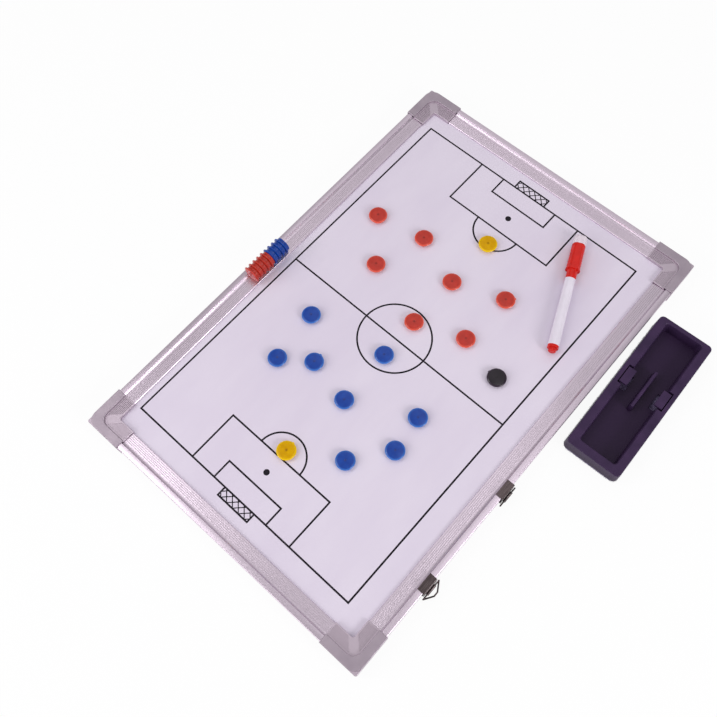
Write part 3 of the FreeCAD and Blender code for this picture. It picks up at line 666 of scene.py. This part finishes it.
def buildEraserPad(spec):
    draw = random.Random(spec["seed"])
    place = Matrix.Translation((spec["centre"][0] * mm, spec["centre"][1] * mm, 0))
    place = place @ Matrix.Rotation(math.radians(spec["turn"]), 4, "Z") @ Matrix.Scale(mm, 4)
    outline = roundedOutline(spec["length"], spec["width"], spec["corner"], spec["points"])
    rings = []
    for level, swell in spec["swell"]:
        ring = []
        for point, normal in outline:
            push = swell
            for along, upward, part in (spec["coarseRipple"], spec["fineRipple"]):
                wave = noise.noise(Vector((point.x * along, point.y * along, level * upward)))
                push += spec["fray"] * part * wave
            spot = point + normal * push
            ring.append(Vector((spot.x, spot.y, level)))
        rings.append(ring)
    for inset in spec["insets"]:  # the underside stays flat on the table
        ring = []
        for point, normal in outline:
            spot = point - normal * inset
            ring.append(Vector((spot.x, spot.y, 0.0)))
        rings.insert(0, ring)
    top = Vector((0, 0, spec["height"] - spec["topDrop"]))
    shape = skinOverRings(rings, Vector((0, 0, 0)), top)
    margin = spec["fibreMargin"]
    for _ in range(spec["fibres"]):
        point, normal = outline[draw.randrange(len(outline))]
        level = draw.uniform(margin, spec["height"] - margin)
        root = Vector((point.x, point.y, level))
        tangent = Vector((-normal.y, normal.x, 0))
        direction = normal + tangent * draw.uniform(*spec["fibreSlant"])
        direction += Vector((0, 0, draw.uniform(*spec["fibreRise"])))
        length = draw.uniform(*spec["fibreLength"])
        droop = draw.uniform(*spec["fibreDroop"])
        thick = spec["fibreThick"]
        addFibre(shape, root, direction.normalized(), length, thick, droop, spec["lowest"])
    shape.transform(place)
    mesh = bpy.data.meshes.new("eraserPadFelt")
    shape.to_mesh(mesh)
    shape.free()
    return addPiece("eraserPadFelt", mesh, padFelt)


padPiece = buildEraserPad(eraserPad)
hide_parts("eraser_pad")
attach(padPiece, "eraser")
print("eraser felt built")

# Felt wiper on the end of the marker's cap: a cut plug with a worn, furry end. Lengths in
# millimetres, ripples as on the eraser's pad but along and round the plug
capFelt = {
    "length": 8.8, "radius": 5.8, "halfHeight": 5.0, "points": 120,
    "tip": (-182.52, 58.05, 16.25), "turn": 23.52, "seed": 5,
    "swell": [
        (0.0, 0.45), (0.02, 0.7), (0.12, 0.86), (0.45, 0.94), (1.2, 1.0), (2.6, 1.005),
        (4.4, 1.0), (6.4, 1.0), (7.9, 0.995), (8.8, 0.985),
    ],
    "fray": 0.22, "coarseRipple": (0.8, 0.9, 0.6), "fineRipple": (2.3, 2.3, 0.5),
    "setBack": 0.15, "endRipple": 0.5, "tipBack": 0.1,
    "fibres": 420, "fibreLength": (0.3, 1.1), "fibreThick": 0.06, "lowest": -5.4,
    "endShare": 0.45, "endBack": 0.2, "endReach": (0.2, 0.9), "endFan": (-0.9, 0.9),
    "sideFrom": 0.4, "sideTo": 8.2, "sideLean": (-0.9, 0.5), "underFrom": -4.5,
    "underLean": (-0.5, 0.1),
}


def buildCapFelt(spec):
    draw = random.Random(spec["seed"])
    place = Matrix.Translation(Vector(spec["tip"]) * mm)
    place = place @ Matrix.Rotation(math.radians(spec["turn"]), 4, "Z") @ Matrix.Scale(mm, 4)
    section = []
    for k in range(spec["points"]):
        a = 2 * math.pi * k / spec["points"]
        y = spec["radius"] * math.cos(a)
        z = max(-spec["halfHeight"], min(spec["halfHeight"], spec["radius"] * math.sin(a)))
        section.append(Vector((0, y, z)))
    rings = []
    for x, share in spec["swell"]:
        ring = []
        for point in section:
            push = 0.0
            for along, around, part in (spec["coarseRipple"], spec["fineRipple"]):
                wave = noise.noise(Vector((x * along, point.y * around, point.z * around)))
                push += spec["fray"] * part * wave
            lift = share * (1.0 + push / spec["radius"])
            # the worn end follows the fine ripple, the end in the cap stays flat
            back = spec["fray"] * spec["endRipple"] * wave if x < spec["length"] else 0.0
            ring.append(Vector((x + spec["setBack"] + back, point.y * lift, point.z * lift)))
        rings.append(ring)
    tip = Vector((spec["tipBack"], 0, 0))
    shape = skinOverRings(rings, tip, Vector((spec["length"], 0, 0)))
    for _ in range(spec["fibres"]):
        point = section[draw.randrange(len(section))]
        atEnd = draw.random() < spec["endShare"]
        if atEnd:
            root = Vector((spec["endBack"], 0, 0)) + point * draw.uniform(*spec["endReach"])
            fan = spec["endFan"]
            direction = Vector((-1, draw.uniform(*fan), draw.uniform(*fan)))
        else:
            root = point + Vector((draw.uniform(spec["sideFrom"], spec["sideTo"]), 0, 0))
            direction = point.normalized() + Vector((draw.uniform(*spec["sideLean"]), 0, 0))
            if root.z < spec["underFrom"]:
                lean, rise = spec["underLean"]
                direction = Vector((lean, draw.choice((-1.0, 1.0)), rise))
        length = draw.uniform(*spec["fibreLength"])
        thick = spec["fibreThick"]
        addFibre(shape, root, direction.normalized(), length, thick, 0.0, spec["lowest"])
    shape.transform(place)
    mesh = bpy.data.meshes.new("capFeltWiper")
    shape.to_mesh(mesh)
    shape.free()
    return addPiece("capFeltWiper", mesh, tipFelt)


wiperPiece = buildCapFelt(capFelt)
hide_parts("marker_felt")
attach(wiperPiece, "marker_cap")
print("marker felt built")

# Studio: white paper floor, sky white along the horizon and greyer overhead, and soft boxes given
# by place, width in metres and watts
studio = {
    "floorSize": 8.0, "floorDrop": 0.0003, "paper": "f4f3f5", "whiteShare": 0.92,
    "horizon": 1.0, "overhead": 0.38, "hazeFrom": 0.04, "hazeTo": 0.3,
    "boxes": [
        ((0.0, 1.3, 0.72), 0.55, 8.2), ((0.45, -0.58, 1.15), 0.5, 2.6),
        ((1.2, -0.12, 0.6), 0.65, 2.8), ((0.95, -0.8, 0.62), 0.5, 3.4),
        ((-0.7, -0.3, 1.0), 1.0, 1.4), ((-0.1, -0.25, 1.25), 1.0, 0.6),
        ((-0.2, 0.3, 1.2), 0.5, 1.0),
    ],
}


# rays that see the backdrop: straight from the camera, in gloss or through glass
def backdropRays(tree):
    path = addNode(tree, "ShaderNodeLightPath", {})
    first = addNode(tree, "ShaderNodeMath", {
        "operation": "MAXIMUM", 0: (path, "Is Camera Ray"), 1: (path, "Is Glossy Ray"),
    })
    return addNode(tree, "ShaderNodeMath", {
        "operation": "MAXIMUM", 0: (first, "Value"), 1: (path, "Is Transmission Ray"),
    })


floorMesh = bpy.data.meshes.new("studioFloor")
half = studio["floorSize"] / 2
floorMesh.from_pydata(
    [(-half, -half, 0), (half, -half, 0), (half, half, 0), (-half, half, 0)], [], [(0, 1, 2, 3)])
floor = bpy.data.objects.new("studioFloor", floorMesh)
floor.location.z = -studio["floorDrop"]
bpy.context.scene.collection.objects.link(floor)
floorPaper, floorTree = startMaterial("studio_paper_white")
paper = addNode(floorTree, "ShaderNodeBsdfDiffuse", {"Color": linear(studio["paper"])})
glow = addNode(floorTree, "ShaderNodeEmission", {"Color": (1, 1, 1, 1), "Strength": 1.0})
share = addNode(floorTree, "ShaderNodeMath", {
    "operation": "MULTIPLY", 0: (backdropRays(floorTree), "Value"), 1: studio["whiteShare"],
})
mixed = addNode(floorTree, "ShaderNodeMixShader", {
    0: (share, "Value"), 1: (paper, "BSDF"), 2: (glow, "Emission"),
})
addNode(floorTree, "ShaderNodeOutputMaterial", {"Surface": (mixed, "Shader")})
floorMesh.materials.append(floorPaper)

sky = bpy.data.worlds.new("studioSky")
sky.use_nodes = True
skyTree = sky.node_tree
skyTree.nodes.clear()
direction = addNode(skyTree, "ShaderNodeTexCoord", {})
rise = addNode(skyTree, "ShaderNodeSeparateXYZ", {"Vector": (direction, "Generated")})
level = addNode(skyTree, "ShaderNodeMapRange", {
    "Value": (rise, "Z"), "From Min": studio["hazeFrom"], "From Max": studio["hazeTo"],
    "To Min": studio["horizon"], "To Max": studio["overhead"],
})
dome = addNode(skyTree, "ShaderNodeBackground", {
    "Color": (1, 1, 1, 1), "Strength": (level, "Result"),
})
addNode(skyTree, "ShaderNodeOutputWorld", {"Surface": (dome, "Background")})
bpy.context.scene.world = sky

for i, (spot, size, power) in enumerate(studio["boxes"]):
    lamp = bpy.data.lights.new("softBox" + str(i + 1), "AREA")
    lamp.size = size
    lamp.energy = power
    lampObject = bpy.data.objects.new(lamp.name, lamp)
    lampObject.location = spot
    lampObject.rotation_euler = (-Vector(spot)).to_track_quat("-Z", "Y").to_euler()
    bpy.context.scene.collection.objects.link(lampObject)
print("studio lit")

# Camera where the photograph was taken: looking down past the top right corner
view = {
    "place": (0.2127821, 0.168037, 0.6466306), "focalPx": 801.1697, "framePx": 717.0,
    "sensor": 36.0, "nearest": 0.01,
    "right": (-0.66316679, 0.74784609, -0.03059458),
    "up": (-0.70150946, -0.60678638, 0.37375763),
    "back": (0.26094881, 0.26932604, 0.92702169),
}
lens = bpy.data.cameras.new("photoCamera")
lens.sensor_fit = "HORIZONTAL"
lens.sensor_width = view["sensor"]
lens.lens = view["focalPx"] / view["framePx"] * view["sensor"]
lens.clip_start = view["nearest"]
camera = bpy.data.objects.new("photoCamera", lens)
turn = Matrix((view["right"], view["up"], view["back"])).transposed().to_4x4()
camera.matrix_world = Matrix.Translation(view["place"]) @ turn
bpy.context.scene.collection.objects.link(camera)
bpy.context.scene.camera = camera
bpy.context.scene.view_settings.view_transform = "Standard"
print("camera set")
